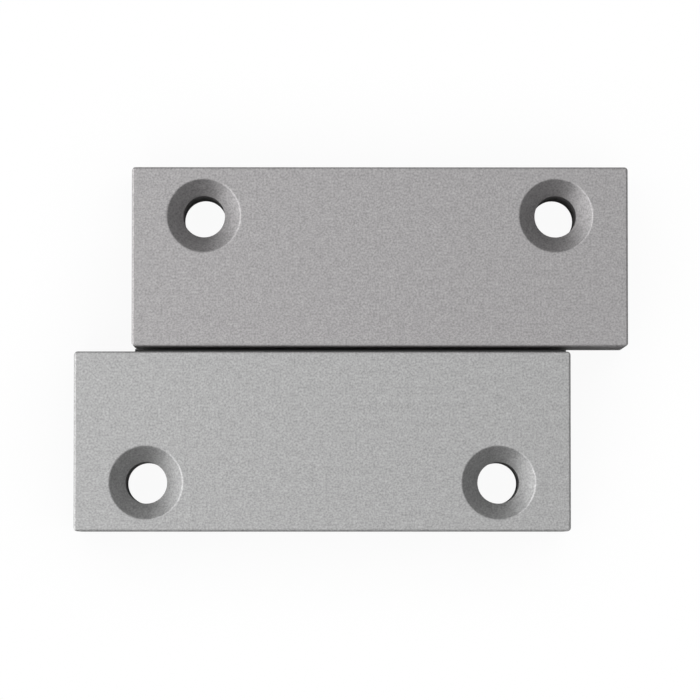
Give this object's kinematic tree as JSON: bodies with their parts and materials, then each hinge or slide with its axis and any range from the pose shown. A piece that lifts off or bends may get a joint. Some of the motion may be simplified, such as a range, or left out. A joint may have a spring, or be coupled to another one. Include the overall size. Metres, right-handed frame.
{
  "type": "magnetic contact sensor",
  "caption": "Surface-mounted magnetic contact: a reed switch half and a magnet half, each potted into a plain countersunk aluminium block.",
  "frame": {"origin": "on the mounting surface, midway between the two halves along X and in the middle of the air gap along Y", "axes": "+X along the blocks to the right as seen from the front, +Y from the switch half towards the magnet half, +Z out of the mounting surface towards the front faces"},
  "size_m": [0.0558, 0.0366, 0.009],
  "materials": {
    "anodised_block": "bead-blasted, natural anodised, fine matt grain",
    "tray_plastic": "moulded natural nylon",
    "board_laminate": "green glass-epoxy laminate",
    "eyelet_plating": "plated, bright",
    "reed_glass": "clear green-tinted glass",
    "reed_alloy": "nickel-iron, satin",
    "sleeve_rubber": "soft translucent silicone",
    "solder": "bright solder",
    "bush_rubber": "matt black rubber",
    "potting_resin": "black epoxy, self-levelled",
    "magnet_alloy": "ground magnet alloy, dull"
  },
  "bodies": {
    "root": {"switch_housing": "anodised_block", "switch_tray": "tray_plastic", "circuit_board": "board_laminate", "core_eyelets": "eyelet_plating", "reed_glass": "reed_glass", "reed_blade_left": "reed_alloy", "reed_blade_right": "reed_alloy", "reed_sleeve": "sleeve_rubber", "reed_solder_joints": "solder", "cable_bush": "bush_rubber", "switch_resin": "potting_resin", "magnet_housing": "anodised_block", "magnet_tray": "tray_plastic", "magnet_rod": "magnet_alloy", "magnet_resin": "potting_resin"}
  },
  "joints": []
}
